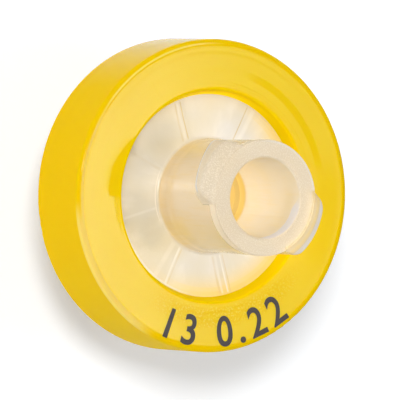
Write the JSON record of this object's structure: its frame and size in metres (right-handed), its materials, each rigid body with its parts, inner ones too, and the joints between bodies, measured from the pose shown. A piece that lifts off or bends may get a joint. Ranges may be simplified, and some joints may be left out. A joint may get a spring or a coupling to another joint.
{
  "type": "syringe filter",
  "caption": "Small disc syringe filter: a membrane sealed between natural plastic discs by a yellow overmoulded ring, with a luer lock inlet hub and a luer slip outlet tip.",
  "frame": {"origin": "centre of the flat end of the outlet tip, which is the lowest point", "axes": "+Z along the flow axis from the outlet tip to the inlet mouth; +X through the middle of one luer lug, with the other lug at -X; +Y completes the right-handed frame"},
  "size_m": [0.0168, 0.0168, 0.0185],
  "materials": {
    "natural_plastic": "unpigmented polypropylene, smooth and cloudy",
    "membrane": "white porous film, matt",
    "yellow_plastic": "translucent yellow polypropylene, glossy"
  },
  "bodies": {
    "root": {"inlet_housing": "natural_plastic", "outlet_housing": "natural_plastic", "membrane": "membrane", "overmould_ring": "yellow_plastic"}
  },
  "joints": []
}
